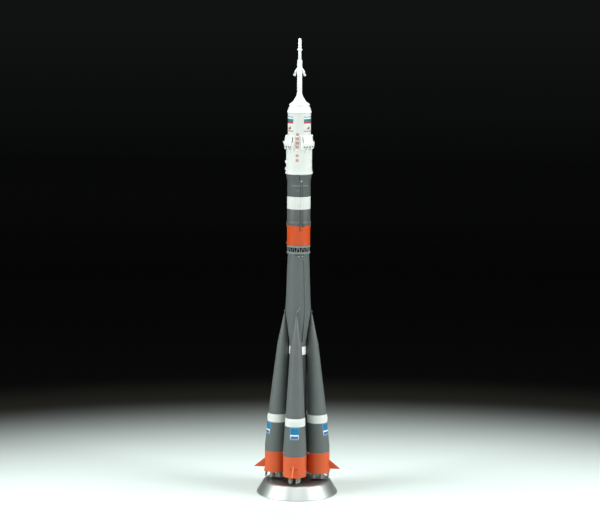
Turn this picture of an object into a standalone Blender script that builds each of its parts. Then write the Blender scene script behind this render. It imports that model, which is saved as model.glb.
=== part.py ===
"""Glued display model of a three-stage space rocket with four strap-on boosters, on a round turned stand.

Metres, +Z up. The origin is the middle of the stand's underside, and the rocket's front faces -Y.
"""

import math

import bmesh
import bpy
from mathutils import Matrix, Vector

for old in list(bpy.data.objects):
    bpy.data.objects.remove(old, do_unlink=True)

mm = 0.001

# Heights above the table in mm, from the stand upwards
stand_top = 10.0
bell_exit = 11.6
steering_exit = 12.0
skirt_bottom = 16.5
plate_bottom = 19.9
plate_top = 20.9
skirt_top = 32.8
booster_band_bottom = 56.1
booster_band_top = 62.4
core_band_bottom = 109.6
core_band_top = 116.0
core_waist = 119.5
core_widest = 145.0
core_top = 188.5
lattice_bottom = 188.6
lattice_top = 195.1
stage_skirt_top = 210.3
stage_band_bottom = 223.1
stage_band_top = 232.7
adapter_bottom = 244.8
adapter_top = 249.8
fairing_step = 272.0
fairing_top = 296.4
collar_top = 303.2
foot_top = 312.8
nozzle_block_bottom = 324.0
nozzle_block_top = 331.9
upper_tube_top = 336.8
tip = 353.1

# Radii and places in mm
core_radius = 6.7
core_widest_radius = 9.9
booster_radius = 8.95
booster_reach = 16.5
stage_radius = 8.92
stage_flange_radius = 9.35
fairing_radius = 8.8
lower_fairing_radius = 9.88
tower_radius = 1.89
bell_offset = 2.85
bell_radius = 1.75
pin_radius = 1.2
pin_foot = 5.1
pin_head = 26.8

seam = 0.05
rub = 0.12
wall = 0.7
body_sides = 32
booster_sides = 24

# Booster sections: height above the table, distance of the section's centre from the core's axis, radius
booster_sections = (
    (140.5, 10.5, 0.6),
    (118.0, 11.47, 4.4),
    (74.0, 14.5, 6.85),
    (37.0, 16.4, 8.95),
    (30.0, 16.5, 8.95),
)

# Degrees round from the front, towards the right
booster_angles = {"right": 90, "back": 180, "left": 270, "front": 0}
duct_angles = {"stage": 19, "core": 41}
vent_angle = -83.5
knob_angle = -88

# Paint: colour as seen (0 to 1), roughness, metallic
paints = {
    "grey_paint": ((0.45, 0.48, 0.48), 0.55, 0.0),
    "white_paint": ((0.93, 0.95, 0.94), 0.5, 0.0),
    "orange_paint": ((0.87, 0.36, 0.2), 0.5, 0.0),
    "nozzle_metal": ((0.62, 0.61, 0.6), 0.35, 0.9),
    "stand_silver": ((0.8, 0.81, 0.8), 0.28, 1.0),
}

parts = bpy.data.collections.new("space_rocket_model")
helpers = bpy.data.collections.new("helpers")
helpers.hide_render = True
for collection in (parts, helpers):
    bpy.context.scene.collection.children.link(collection)


def painted(name, paint):
    seen, roughness, metallic = paints[paint]
    material = bpy.data.materials.new(name + "_" + paint)
    material.use_nodes = True
    shader = material.node_tree.nodes["Principled BSDF"]
    linear = [((c + 0.055) / 1.055) ** 2.4 for c in seen]
    shader.inputs["Base Color"].default_value = (*linear, 1.0)
    shader.inputs["Roughness"].default_value = roughness
    shader.inputs["Metallic"].default_value = metallic
    return material


def helper(name, bm):
    """A new object from this mesh, among the helpers."""
    mesh = bpy.data.meshes.new(name)
    bm.to_mesh(mesh)
    bm.free()
    obj = bpy.data.objects.new(name, mesh)
    obj.display_type = "WIRE"
    obj.hide_render = True
    helpers.objects.link(obj)
    return obj


def baked(obj):
    """Works the object's modifiers into its mesh."""
    bpy.context.view_layer.update()
    graph = bpy.context.evaluated_depsgraph_get()
    mesh = bpy.data.meshes.new_from_object(obj.evaluated_get(graph))
    obj.modifiers.clear()
    obj.data = mesh
    return obj


def turned(name, profile, sides=body_sides, ring=False):
    """A profile of (radius, height) turned about the Z axis. It runs down the outer side."""
    bm = bmesh.new()
    points = [bm.verts.new((radius * mm, 0, height * mm)) for radius, height in profile]
    for start, end in zip(points, points[1:] + points[:1] * ring):
        bm.edges.new((start, end))
    obj = helper(name, bm)
    screw = obj.modifiers.new("turn", "SCREW")
    screw.steps = screw.render_steps = sides
    screw.use_merge_vertices = True
    screw.merge_threshold = 0.000001
    return baked(obj)


def rod(name, start, end, start_radius, end_radius, sides=8):
    """A straight or tapered rod between two points in mm."""
    start, end = Vector(start) * mm, Vector(end) * mm
    along = end - start
    place = Matrix.Translation((start + end) / 2) @ along.to_track_quat("Z", "Y").to_matrix().to_4x4()
    bm = bmesh.new()
    bmesh.ops.create_cone(
        bm,
        cap_ends=True,
        segments=sides,
        radius1=start_radius * mm,
        radius2=end_radius * mm,
        depth=along.length,
        matrix=place,
    )
    return helper(name, bm)


def block(name, centre, size, turn=0):
    """A box in mm, then turned about the Z axis through the origin by this many degrees."""
    bm = bmesh.new()
    place = Matrix.Translation(Vector(centre) * mm) @ Matrix.Diagonal((*(Vector(size) * mm), 1))
    bmesh.ops.create_cube(bm, size=1, matrix=Matrix.Rotation(math.radians(turn), 4, "Z") @ place)
    return helper(name, bm)


def slab(name, outline, thickness):
    """An outline of (distance from the axis, height) on the XZ plane, thick along Y."""
    curve = bpy.data.curves.new(name, "CURVE")
    curve.dimensions = "2D"
    curve.fill_mode = "BOTH"
    curve.extrude = thickness / 2 * mm
    spline = curve.splines.new("POLY")
    spline.points.add(len(outline) - 1)
    for point, (out, height) in zip(spline.points, outline):
        point.co = (out * mm, height * mm, 0, 1)
    spline.use_cyclic_u = True
    flat = bpy.data.objects.new(name + "_outline", curve)
    flat.rotation_euler.x = math.radians(90)
    helpers.objects.link(flat)
    bpy.context.view_layer.update()
    graph = bpy.context.evaluated_depsgraph_get()
    mesh = bpy.data.meshes.new_from_object(flat.evaluated_get(graph))
    bm = bmesh.new()
    bm.from_mesh(mesh)
    bmesh.ops.remove_doubles(bm, verts=bm.verts, dist=0.000001)
    bmesh.ops.transform(bm, matrix=flat.matrix_world, verts=bm.verts)
    bmesh.ops.recalc_face_normals(bm, faces=bm.faces)
    bpy.data.objects.remove(flat, do_unlink=True)
    return helper(name, bm)


def combined(base, others, operation="UNION"):
    """Joins the other shapes to the base, or cuts them from it, and removes them."""
    for other in others:
        change = base.modifiers.new("change", "BOOLEAN")
        change.operation = operation
        change.solver = "EXACT"
        change.object = other
    baked(base)
    for other in others:
        bpy.data.objects.remove(other, do_unlink=True)
    return base


def moved(obj, x=0.0, y=0.0, z=0.0, turn=0.0):
    """Shifts the mesh by millimetres, then turns it about the Z axis through the origin."""
    shift = Matrix.Translation(Vector((x, y, z)) * mm)
    obj.data.transform(Matrix.Rotation(math.radians(turn), 4, "Z") @ shift)
    return obj


def leant(obj, sections):
    """Shifts each level of an upright turned body along X, onto the line of the sections' centres."""
    rising = sorted(sections)
    for vertex in obj.data.vertices:
        height = vertex.co.z / mm
        centre = rising[0][1] if height < rising[0][0] else rising[-1][1]
        for low, high in zip(rising, rising[1:]):
            if low[0] <= height <= high[0]:
                centre = low[1] + (high[1] - low[1]) * (height - low[0]) / (high[0] - low[0])
        vertex.co.x += centre * mm
    return obj


def finished(obj, paint):
    """Makes a helper one of the model's pieces."""
    helpers.objects.unlink(obj)
    parts.objects.link(obj)
    obj.hide_render = False
    obj.display_type = "TEXTURED"
    obj.data.shade_smooth()
    obj.data.set_sharp_from_angle(angle=math.radians(32))
    obj.data.materials.clear()
    obj.data.materials.append(painted(obj.name, paint))
    return obj


def copied(obj, name, turn):
    """Another piece of the same shape, turned about the Z axis."""
    copy = bpy.data.objects.new(name, obj.data)
    copy.rotation_euler.z = math.radians(turn)
    parts.objects.link(copy)
    return copy


def radius_at(height, sections):
    """The booster's radius at a height."""
    rising = sorted(sections)
    for low, high in zip(rising, rising[1:]):
        if low[0] <= height <= high[0]:
            return low[2] + (high[2] - low[2]) * (height - low[0]) / (high[0] - low[0])
    return rising[0][2]


def bell(name, x, y, top, exit_height, throat, exit_radius, sides):
    """A hollow engine bell, open below, with a solid neck."""
    length = top - exit_height
    profile = (
        (0, top),
        (throat, top),
        (throat, exit_height + length * 0.8),
        (exit_radius * 0.8, exit_height + length * 0.42),
        (exit_radius, exit_height),
        (exit_radius * 0.86, exit_height),
        (0, exit_height + length * 0.6),
    )
    return moved(turned(name, profile, sides), x, y)


def small_bell(name, x, y):
    """A steering bell, a plain cone that is hollow below."""
    profile = ((0, 15.7), (0.42, 15.7), (0.78, steering_exit), (0.6, steering_exit), (0, 14.6))
    return moved(turned(name, profile, 8), x, y)


# Stand and its pin
stand = turned(
    "stand_base",
    (
        (0, pin_foot - 0.1),
        (pin_radius + rub, pin_foot - 0.1),
        (pin_radius + rub, stand_top),
        (25.0, stand_top),
        (26.1, 9.3),
        (31.6, 0.7),
        (31.6, 0),
        (0, 0),
    ),
    sides=56,
)
finished(stand, "stand_silver")
pin = turned("stand_pin", ((0, pin_head), (pin_radius, pin_head), (pin_radius, pin_foot), (0, pin_foot)), sides=16)
finished(pin, "stand_silver")

# Core stage, from its tail up
core_tail = turned(
    "core_tail",
    (
        (0, skirt_top),
        (core_radius + 0.1, skirt_top),
        (core_radius + 0.1, skirt_bottom),
        (core_radius - wall, skirt_bottom),
        (core_radius - wall, plate_top + seam),
        (pin_radius + rub, plate_top + seam),
        (pin_radius + rub, pin_head + seam),
        (0, pin_head + seam),
    ),
)
finished(core_tail, "orange_paint")
plate = turned(
    "core_engine",
    (
        (pin_radius + rub, plate_top),
        (core_radius - wall - 0.2, plate_top),
        (core_radius - wall - 0.2, plate_bottom),
        (pin_radius + rub, plate_bottom),
    ),
    sides=20,
    ring=True,
)
bells = [
    bell("bell", x * bell_offset, y * bell_offset, plate_top - 0.3, bell_exit, 0.9, bell_radius, 10)
    for x in (1, -1)
    for y in (1, -1)
]
steering = []
for angle in (0, 90, 180, 270):
    out = Vector((5.3 * math.cos(math.radians(angle)), 5.3 * math.sin(math.radians(angle)), 0))
    steering.append(small_bell("steering_bell", out.x, out.y))
    steering.append(rod("post", (out.x, out.y, plate_bottom + 0.4), (out.x, out.y, 15.2), 0.36, 0.36, 6))
finished(combined(plate, bells + steering), "nozzle_metal")
core_lower = turned(
    "core_lower_tube",
    (
        (0, core_band_bottom - seam),
        (core_radius, core_band_bottom - seam),
        (core_radius, skirt_top + seam),
        (0, skirt_top + seam),
    ),
)
finished(core_lower, "grey_paint")
core_band = turned(
    "core_white_band",
    (
        (0, core_band_top),
        (core_radius + 0.08, core_band_top),
        (core_radius + 0.08, core_band_bottom),
        (0, core_band_bottom),
    ),
)
finished(core_band, "white_paint")
core_outline = (
    (8.1, core_top),
    (8.15, core_top - 0.4),
    (8.72, 176.0),
    (8.95, 166.0),
    (9.33, 155.5),
    (core_widest_radius, core_widest),
    (core_widest_radius - 0.1, core_widest - 2),
    (core_radius, core_waist),
)
core_upper = turned(
    "core_upper_body",
    ((0, core_top), *core_outline, (core_radius, core_band_top + seam), (0, core_band_top + seam)),
)
finished(core_upper, "grey_paint")

# Cable ducts: flat strips that follow the body
duct_high = 0.65
duct_wide = 1.5
core_run = [(radius + rub, height) for radius, height in core_outline[1:]]
core_duct = slab(
    "core_cable_duct",
    [(radius + duct_high, height) for radius, height in core_run] + core_run[::-1],
    duct_wide,
)
finished(moved(core_duct, turn=duct_angles["core"] - 90), "grey_paint")
stage_run = [(stage_radius + 0.05 + rub, adapter_bottom - 2.5), (stage_radius + 0.05 + rub, 214.0)]
stage_duct = slab(
    "stage_cable_duct",
    [(radius + duct_high, height) for radius, height in stage_run] + stage_run[::-1],
    duct_wide,
)
finished(moved(stage_duct, turn=duct_angles["stage"] - 90), "grey_paint")

# Boosters, built once on the +X side and copied round
upper_profile = [(0, 140.9), (0.3, 140.9)]
upper_profile += [(radius, height) for height, _, radius in booster_sections[:3]]
upper_profile += [
    (radius_at(booster_band_top, booster_sections), booster_band_top + seam),
    (0, booster_band_top + seam),
]
ball_profile = ((0, 144.0), (0.36, 143.8), (0.36, 143.1), (0.24, 142.7), (0.24, 140.2), (0, 140.2))
nose_cone = combined(
    turned("booster_nose_cone", upper_profile, booster_sides),
    [turned("ball", ball_profile, 8)],
)
nose_lean = ((144.0, 10.5, 0), *booster_sections)
band_radii = [radius_at(h, booster_sections) + 0.15 for h in (booster_band_top, booster_band_bottom)]
lower_radius = radius_at(booster_band_bottom, booster_sections)
booster = {
    "nose_cone": (
        leant(nose_cone, nose_lean),
        "grey_paint",
    ),
    "white_band": (
        leant(
            turned(
                "booster_white_band",
                (
                    (0, booster_band_top),
                    (band_radii[0], booster_band_top),
                    (band_radii[1], booster_band_bottom),
                    (0, booster_band_bottom),
                ),
                booster_sides,
            ),
            booster_sections,
        ),
        "white_paint",
    ),
    "lower_body": (
        leant(
            turned(
                "booster_lower_body",
                (
                    (0, booster_band_bottom - seam),
                    (lower_radius, booster_band_bottom - seam),
                    (booster_radius, 37.0),
                    (booster_radius, skirt_top + seam),
                    (0, skirt_top + seam),
                ),
                booster_sides,
            ),
            booster_sections,
        ),
        "grey_paint",
    ),
}
tail = turned(
    "booster_tail_skirt",
    (
        (0, skirt_top),
        (booster_radius, skirt_top),
        (booster_radius, skirt_bottom),
        (booster_radius - wall, skirt_bottom),
        (booster_radius - wall, plate_top + seam),
        (0, plate_top + seam),
    ),
    booster_sides,
)
pods, booster_steering = [], []
for angle in (-17, 17):
    out = Vector((math.cos(math.radians(angle)), math.sin(math.radians(angle)), 0))
    low, high = out * 8.55, out * 8.65
    pods.append(rod("pod", (low.x, low.y, 16.1), (high.x, high.y, 23.5), 1.15, 0.3, 10))
    hung, held = out * 8.25, out * 6.6
    booster_steering.append(small_bell("steering_bell", hung.x, hung.y))
    booster_steering.append(block("arm", (7.4, 0, 15.3), (1.9, 0.7, 0.55), angle))
    booster_steering.append(rod("post", (held.x, held.y, plate_bottom + 0.4), (held.x, held.y, 15.15), 0.42, 0.42, 6))
booster["tail_skirt"] = (moved(combined(tail, pods), booster_reach), "orange_paint")
booster_plate = turned(
    "booster_engine",
    (
        (0, plate_top),
        (booster_radius - wall - 0.4, plate_top),
        (booster_radius - wall - 0.4, plate_bottom),
        (0, plate_bottom),
    ),
    20,
)
booster_bells = [
    bell("bell", x * (bell_offset + 0.1), y * (bell_offset + 0.1), plate_top - 0.3, bell_exit, 0.9, bell_radius, 10)
    for x in (1, -1)
    for y in (1, -1)
]
booster["engine"] = (
    moved(combined(booster_plate, booster_bells + booster_steering), booster_reach),
    "nozzle_metal",
)
fin_root = booster_reach + booster_radius + rub
fin_outline = ((fin_root, 26.0), (33.5, 19.4), (33.5, 18.9), (fin_root, 18.8))
booster["fin"] = (slab("booster_fin", fin_outline, 0.8), "orange_paint")
for piece, (shape, paint) in booster.items():
    shape.name = "booster_right_" + piece
    finished(shape, paint)
    for side, angle in booster_angles.items():
        if side != "right":
            copied(shape, "booster_" + side + "_" + piece, angle - 90)

# V-shaped ties from a bracket at the core's tail to the two boosters on either side
tie_foot = block("tie_foot", (7.45, 0, 32.3), (0.9, 1.2, 5.4), 45)
tie_arms = [
    rod("tie_arm", (5.35, 5.35, height), end, 0.3, 0.3, 6)
    for end in ((10.6, 7.6, 32.2), (7.6, 10.6, 32.2))
    for height in (34.4, 30.4)
]
tie = combined(tie_foot, tie_arms)
tie.name = "booster_tie_1"
finished(tie, "grey_paint")
for number in (2, 3, 4):
    copied(tie, f"booster_tie_{number}", 90 * (number - 1))

# Open lattice between core and third stage: two rings and V struts
lattice_radius = 8.9
lower_ring_height = 1.7
upper_ring_height = 1.55
strut_pairs = 14
strut_spread = 0.055
lattice_turn = 4.4
lower_ring = turned(
    "interstage_lattice",
    (
        (lattice_radius + 0.05, lattice_bottom + lower_ring_height),
        (lattice_radius + 0.05, lattice_bottom),
        (lattice_radius - 1, lattice_bottom),
        (lattice_radius - 1, lattice_bottom + lower_ring_height),
    ),
    strut_pairs * 2,
    ring=True,
)
upper_ring = turned(
    "upper_ring",
    (
        (lattice_radius, lattice_top),
        (lattice_radius, lattice_top - upper_ring_height),
        (lattice_radius - 1, lattice_top - upper_ring_height),
        (lattice_radius - 1, lattice_top),
    ),
    strut_pairs * 2,
    ring=True,
)
struts = []
for number in range(strut_pairs * 2):
    side = 1 if number % 2 else -1
    low = math.tau * (number // 2) / strut_pairs + side * strut_spread
    high = low + side * (math.pi / strut_pairs - 2 * strut_spread)
    middle = lattice_radius - 0.5
    foot = (middle * math.cos(low), middle * math.sin(low), lattice_bottom + 1.1)
    head = (middle * math.cos(high), middle * math.sin(high), lattice_top - 0.9)
    struts.append(rod("strut", foot, head, 0.36, 0.36, 4))
lattice = combined(lower_ring, [upper_ring, *struts])
lattice.data.transform(Matrix.Rotation(math.radians(lattice_turn), 4, "Z"))
finished(lattice, "grey_paint")

# Third stage
recess_top = lattice_top + 3
stage_plate = turned(
    "stage_engine",
    ((0, recess_top - 0.1), (7.3, recess_top - 0.1), (7.3, recess_top - 1.1), (0, recess_top - 1.1)),
    20,
)
stage_bells = [
    bell("bell", x * 2.5, y * 2.5, recess_top - 0.6, 190.0, 0.6, 1.6, 10) for x in (1, -1) for y in (1, -1)
]
finished(combined(stage_plate, stage_bells), "nozzle_metal")
stage_skirt = turned(
    "stage_skirt",
    (
        (0, stage_skirt_top),
        (stage_flange_radius, stage_skirt_top),
        (stage_flange_radius, 209.9),
        (8.87, 208.4),
        (8.87, lattice_top + seam),
        (7.7, lattice_top + seam),
        (7.7, recess_top),
        (0, recess_top),
    ),
)
skirt_lug = block("lug", (8.95, 0, 196.5), (1.1, 1.5, 1.3), vent_angle - 90)
finished(combined(stage_skirt, [skirt_lug]), "orange_paint")
stage_lower = turned(
    "stage_lower_body",
    (
        (0, stage_band_bottom - seam),
        (stage_radius, stage_band_bottom - seam),
        (stage_radius, 213.6),
        (stage_flange_radius, 212.7),
        (stage_flange_radius, stage_skirt_top + seam),
        (0, stage_skirt_top + seam),
    ),
)
finished(stage_lower, "grey_paint")
stage_band = turned(
    "stage_white_band",
    (
        (0, stage_band_top),
        (stage_radius + 0.05, stage_band_top),
        (stage_radius + 0.05, stage_band_bottom),
        (0, stage_band_bottom),
    ),
)
finished(stage_band, "white_paint")
stage_upper = turned(
    "stage_upper_body",
    (
        (0, adapter_bottom - seam),
        (stage_radius, adapter_bottom - seam),
        (stage_radius, stage_band_top + seam),
        (0, stage_band_top + seam),
    ),
)
finished(stage_upper, "grey_paint")
adapter = turned(
    "adapter_cone",
    (
        (0, adapter_top),
        (9.75, adapter_top),
        (9.35, 246.9),
        (stage_radius + 0.03, adapter_bottom),
        (0, adapter_bottom),
    ),
)
finished(adapter, "grey_paint")

# Fairing
lower_fairing = turned(
    "fairing_lower_barrel",
    (
        (0, fairing_step),
        (fairing_radius, fairing_step),
        (lower_fairing_radius, 268.4),
        (lower_fairing_radius, 254.2),
        (10.1, 252.3),
        (10.1, 251.7),
        (10.5, 251.1),
        (10.5, adapter_top + 0.4),
        (10.3, adapter_top + seam),
        (0, adapter_top + seam),
    ),
)
vents = [block("vent", (10.0, 0, height), (1.5, 1.7, 2.2), vent_angle - 90) for height in (259.1, 253.7)]
finished(combined(lower_fairing, vents), "white_paint")
upper_fairing = turned(
    "fairing_upper_barrel",
    (
        (0, fairing_top),
        (fairing_radius, fairing_top),
        (fairing_radius, fairing_step + seam),
        (0, fairing_step + seam),
    ),
)
knob = block("knob", (10.5, 0, 273.9), (3.8, 1.5, 1.8), knob_angle - 90)
finished(combined(upper_fairing, [knob]), "white_paint")
nose = turned(
    "fairing_nose",
    (
        (0, collar_top),
        (7.85, collar_top),
        (7.85, 302.4),
        (7.4, 301.8),
        (7.95, 300.9),
        (8.35, 300.1),
        (8.7, 298.5),
        (9.25, 297.8),
        (9.25, 297.0),
        (fairing_radius, fairing_top + seam),
        (0, fairing_top + seam),
    ),
)
finished(nose, "white_paint")

# Grid-fin panels, folded flat against the fairing: the outer face bulges, and the back is hollowed to the barrel
panel_width = 8.8
panel_outline = (
    (6.0, 279.7),
    (9.9, 279.7),
    (10.3, 278.7),
    (10.75, 275.5),
    (11.4, 274.0),
    (11.45, 272.0),
    (11.3, 270.6),
    (10.45, 268.7),
    (6.0, 268.7),
)
barrel = turned(
    "barrel_cutter",
    (
        (0, 285),
        (fairing_radius + rub, 285),
        (fairing_radius + rub, fairing_step + 0.1),
        (lower_fairing_radius + rub, 268.5),
        (lower_fairing_radius + rub, 262),
        (0, 262),
    ),
)
panel = combined(slab("grid_fin_panel_1", panel_outline, panel_width), [barrel], "DIFFERENCE")
panel.rotation_euler.z = math.radians(45)
finished(panel, "white_paint")
for number in (2, 3, 4):
    copied(panel, f"grid_fin_panel_{number}", 45 + 90 * (number - 1))

# Escape tower
tower_foot = turned(
    "tower_foot",
    (
        (0, foot_top),
        (tower_radius, foot_top),
        (1.95, 311.6),
        (2.15, 310.7),
        (2.5, 309.3),
        (3.45, 307.8),
        (4.35, 306.2),
        (5.45, 304.8),
        (7.75, collar_top + seam),
        (0, collar_top + seam),
    ),
    24,
)
finished(tower_foot, "white_paint")
tubes = (
    # node, lowest and highest point, chamfer at the top
    ("tower_lower_tube", foot_top + seam, nozzle_block_bottom - seam, 0),
    ("tower_upper_tube", nozzle_block_top + seam, upper_tube_top, 0.3),
)
for name, low, high, chamfer in tubes:
    profile = [(0, high), (tower_radius - chamfer, high)]
    if chamfer:
        profile.append((tower_radius, high - chamfer))
    profile += [(tower_radius, low), (0, low)]
    finished(turned(name, profile, 16), "white_paint")
nozzle_block = turned(
    "tower_nozzles",
    (
        (0, nozzle_block_top),
        (tower_radius, nozzle_block_top),
        (tower_radius, nozzle_block_bottom),
        (0, nozzle_block_bottom),
    ),
    16,
)
# Distance out and height of a nozzle's root, shoulder and mouth
nozzle_line = ((0.9, 330.9), (3.1, 327.5), (4.1, 325.0))
nozzles, mouths = [], []
for angle in (0, 90, 180, 270):
    way = Vector((math.cos(math.radians(angle)), math.sin(math.radians(angle)), 0))
    root, shoulder, mouth = (way * out + Vector((0, 0, high)) for out, high in nozzle_line)
    nozzles.append(rod("nozzle_body", root, shoulder, 0.95, 1.35, 10))
    nozzles.append(rod("nozzle_neck", shoulder.lerp(root, 0.1), mouth, 0.8, 0.92, 10))
    mouths.append(rod("mouth", mouth.lerp(shoulder, 0.4), mouth.lerp(shoulder, -0.3), 0.4, 0.75, 10))
finished(combined(combined(nozzle_block, nozzles), mouths, "DIFFERENCE"), "white_paint")
head = turned(
    "tower_head",
    (
        (0, tip),
        (0.65, tip - 0.2),
        (1.1, tip - 0.7),
        (1.27, tip - 1.4),
        (1.27, 345.7),
        (1.95, 345.1),
        (1.95, 344.6),
        (1.16, 344.1),
        (1.16, upper_tube_top + seam),
        (0, upper_tube_top + seam),
    ),
    16,
)
finished(head, "white_paint")
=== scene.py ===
import math

import bmesh
import bpy
from mathutils import Matrix, Vector


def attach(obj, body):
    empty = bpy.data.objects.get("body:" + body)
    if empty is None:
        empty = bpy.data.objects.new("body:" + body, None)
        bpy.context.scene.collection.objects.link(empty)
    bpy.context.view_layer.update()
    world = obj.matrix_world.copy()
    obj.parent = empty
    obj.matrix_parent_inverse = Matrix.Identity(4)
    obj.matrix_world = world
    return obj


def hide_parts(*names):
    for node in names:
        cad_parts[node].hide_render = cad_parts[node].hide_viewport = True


# Display model of a three-stage space rocket on a turned metal stand.
# Millimetres in the tables, metres in the scene. Azimuth 0 is the front (-Y), 90 is the right side (+X).

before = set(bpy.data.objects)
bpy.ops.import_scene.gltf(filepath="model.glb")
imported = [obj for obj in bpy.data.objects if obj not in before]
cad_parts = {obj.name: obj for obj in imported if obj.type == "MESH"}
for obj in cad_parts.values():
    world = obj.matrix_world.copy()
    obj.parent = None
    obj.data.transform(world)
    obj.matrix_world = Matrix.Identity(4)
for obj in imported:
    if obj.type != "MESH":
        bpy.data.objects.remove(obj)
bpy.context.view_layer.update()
scene = bpy.context.scene
mm = 0.001
print("frame loaded, solids:", len(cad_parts))


# Shader groups

def newGroup(name, inputs):
    # gives the group, the sockets that bring its inputs in, and the node that takes what it puts out
    group = bpy.data.node_groups.new(name, "ShaderNodeTree")
    for label, value in inputs.items():
        kind = "Color" if isinstance(value, tuple) else "Float"
        socket = group.interface.new_socket(name=label, in_out="INPUT", socket_type="NodeSocket" + kind)
        socket.default_value = value
    for label, kind in (("Color", "Color"), ("Roughness", "Float"), ("Height", "Float")):
        group.interface.new_socket(name=label, in_out="OUTPUT", socket_type="NodeSocket" + kind)
    return group, group.nodes.new("NodeGroupInput").outputs, group.nodes.new("NodeGroupOutput")


def fill(tree, node, values):
    # another node's output is linked to the input, and a number or colour is set
    for label, value in values.items():
        if isinstance(value, bpy.types.NodeSocket):
            tree.links.new(value, node.inputs[label])
        else:
            node.inputs[label].default_value = value


def addNode(tree, kind, values=None, **settings):
    # values are for the node's inputs, settings for the node itself
    node = tree.nodes.new("ShaderNode" + kind)
    for key, setting in settings.items():
        setattr(node, key, setting)
    fill(tree, node, values or {})
    return node


def addMath(tree, operation, first, second):
    return addNode(tree, "Math", {0: first, 1: second}, operation=operation).outputs[0]


def plus(tree, first, second):
    return addMath(tree, "ADD", first, second)


def times(tree, first, second):
    return addMath(tree, "MULTIPLY", first, second)


def addNoise(tree, place, scale, detail, roughness=0.5):
    values = {"Vector": place, "Scale": scale, "Detail": detail, "Roughness": roughness}
    return addNode(tree, "TexNoise", values).outputs["Fac"]


def addRange(tree, value, fromLow, fromHigh, toLow, toHigh, **settings):
    values = {"Value": value, "From Min": fromLow, "From Max": fromHigh, "To Min": toLow, "To Max": toHigh}
    return addNode(tree, "MapRange", values, **settings).outputs["Result"]


def addMix(tree, factor, first, second):
    return addNode(tree, "Mix", {0: factor, 6: first, 7: second}, data_type="RGBA").outputs[2]


def addObjectPlace(tree):
    return addNode(tree, "TexCoord").outputs["Object"]


def addWashAndShade(tree):
    # how much seam wash and painted shade each vertex carries
    return addNode(tree, "Attribute", attribute_name="seamWashAndShade").outputs["Fac"]


def buildSprayedPaint():
    # soft mottling of a brushed or sprayed coat, fine grain, and dark wash in the seams; the same dark colour
    # paints shade into hollows and undersides
    group, given, made = newGroup("sprayedPaint", {
        "Paint": (0.5, 0.5, 0.5, 1),
        "WashAndShade": (0.05, 0.05, 0.05, 1),
        "Mottle": 0.06,
        "Mottle Size": 90.0,
        "Roughness": 0.5,
    })
    place = addObjectPlace(group)
    broad = addNoise(group, place, given["Mottle Size"], 3.0)
    fine = addNoise(group, place, 1500.0, 2.0, 0.7)
    streakPlace = addNode(group, "Mapping", {"Vector": place, "Scale": (700.0, 700.0, 18.0)})
    streak = addNoise(group, streakPlace.outputs["Vector"], 1.0, 2.0)
    uneven = plus(group, times(group, broad, 0.7), times(group, streak, 0.3))
    shade = times(group, addMath(group, "SUBTRACT", uneven, 0.5), given["Mottle"])
    lightness = plus(group, times(group, shade, 2.0), 1.0)
    tinted = addNode(group, "VectorMath", {0: given["Paint"], "Scale": lightness}, operation="SCALE")
    # the vertices' value darkens the paint in the seams, and as painted shade in hollows and undersides
    brokenWashAndShade = times(group, addWashAndShade(group), addRange(group, broad, 0.25, 0.6, 0.6, 1.0))
    grain = times(group, addMath(group, "SUBTRACT", fine, 0.5), 0.16)
    fill(group, made, {
        "Color": addMix(group, brokenWashAndShade, tinted.outputs["Vector"], given["WashAndShade"]),
        "Roughness": plus(group, given["Roughness"], grain),
        "Height": plus(group, times(group, fine, 0.35), times(group, streak, 0.4)),
    })
    return group


def buildTurnedMetal():
    # rings that a lathe tool leaves, seen as fine changes of gloss and height, and dull patches
    group, given, made = newGroup("turnedMetal", {
        "Metal": (0.7, 0.7, 0.7, 1),
        "Dark Metal": (0.2, 0.2, 0.2, 1),
        "Ring Fineness": 2400.0,
        "Roughness": 0.3,
        "Dullness": 0.12,
    })
    place = addObjectPlace(group)
    apart = addNode(group, "SeparateXYZ", {"Vector": place})
    x, y, z = (apart.outputs[axis] for axis in "XYZ")
    radius = addMath(group, "SQRT", plus(group, times(group, x, x), times(group, y, y)), 0.0)
    line = addNode(group, "CombineXYZ", {"X": addMath(group, "SUBTRACT", radius, z)})
    rings = addNoise(group, line.outputs["Vector"], given["Ring Fineness"], 4.0, 0.75)
    patch = addNoise(group, place, 70.0, 3.0)
    bright = addMix(group, addRange(group, rings, 0.3, 0.7, 0.0, 0.25), given["Metal"], given["Dark Metal"])
    dull = plus(group, given["Roughness"], times(group, patch, given["Dullness"]))
    # the vertices' value darkens the metal: painted shade on the stand's top, the engine plates and inside
    # the bells
    fill(group, made, {
        "Color": addMix(group, addWashAndShade(group), bright, given["Dark Metal"]),
        "Roughness": plus(group, dull, times(group, rings, 0.06)),
        "Height": rings,
    })
    return group


def buildPrintedFilm():
    # a thin printed transfer: faint uneven ink, slightly shinier than the paint around it
    group, given, made = newGroup("printedFilm", {
        "Ink": (0.5, 0.1, 0.1, 1),
        "Thin Ink": (0.6, 0.2, 0.2, 1),
        "Roughness": 0.35,
    })
    place = addObjectPlace(group)
    dots = addNoise(group, place, 2200.0, 1.0)
    broad = addNoise(group, place, 260.0, 2.0)
    thin = times(group, addRange(group, dots, 0.45, 0.75, 0.0, 1.0), 0.5)
    fill(group, made, {
        "Color": addMix(group, thin, given["Ink"], given["Thin Ink"]),
        "Roughness": plus(group, given["Roughness"], times(group, broad, 0.1)),
        "Height": broad,
    })
    return group


sprayedPaint = buildSprayedPaint()
turnedMetal = buildTurnedMetal()
printedFilm = buildPrintedFilm()
print("shader groups built")


# Materials

def toLinear(seen):
    return tuple(c / 12.92 if c < 0.04045 else ((c + 0.055) / 1.055) ** 2.4 for c in seen) + (1.0,)


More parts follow.
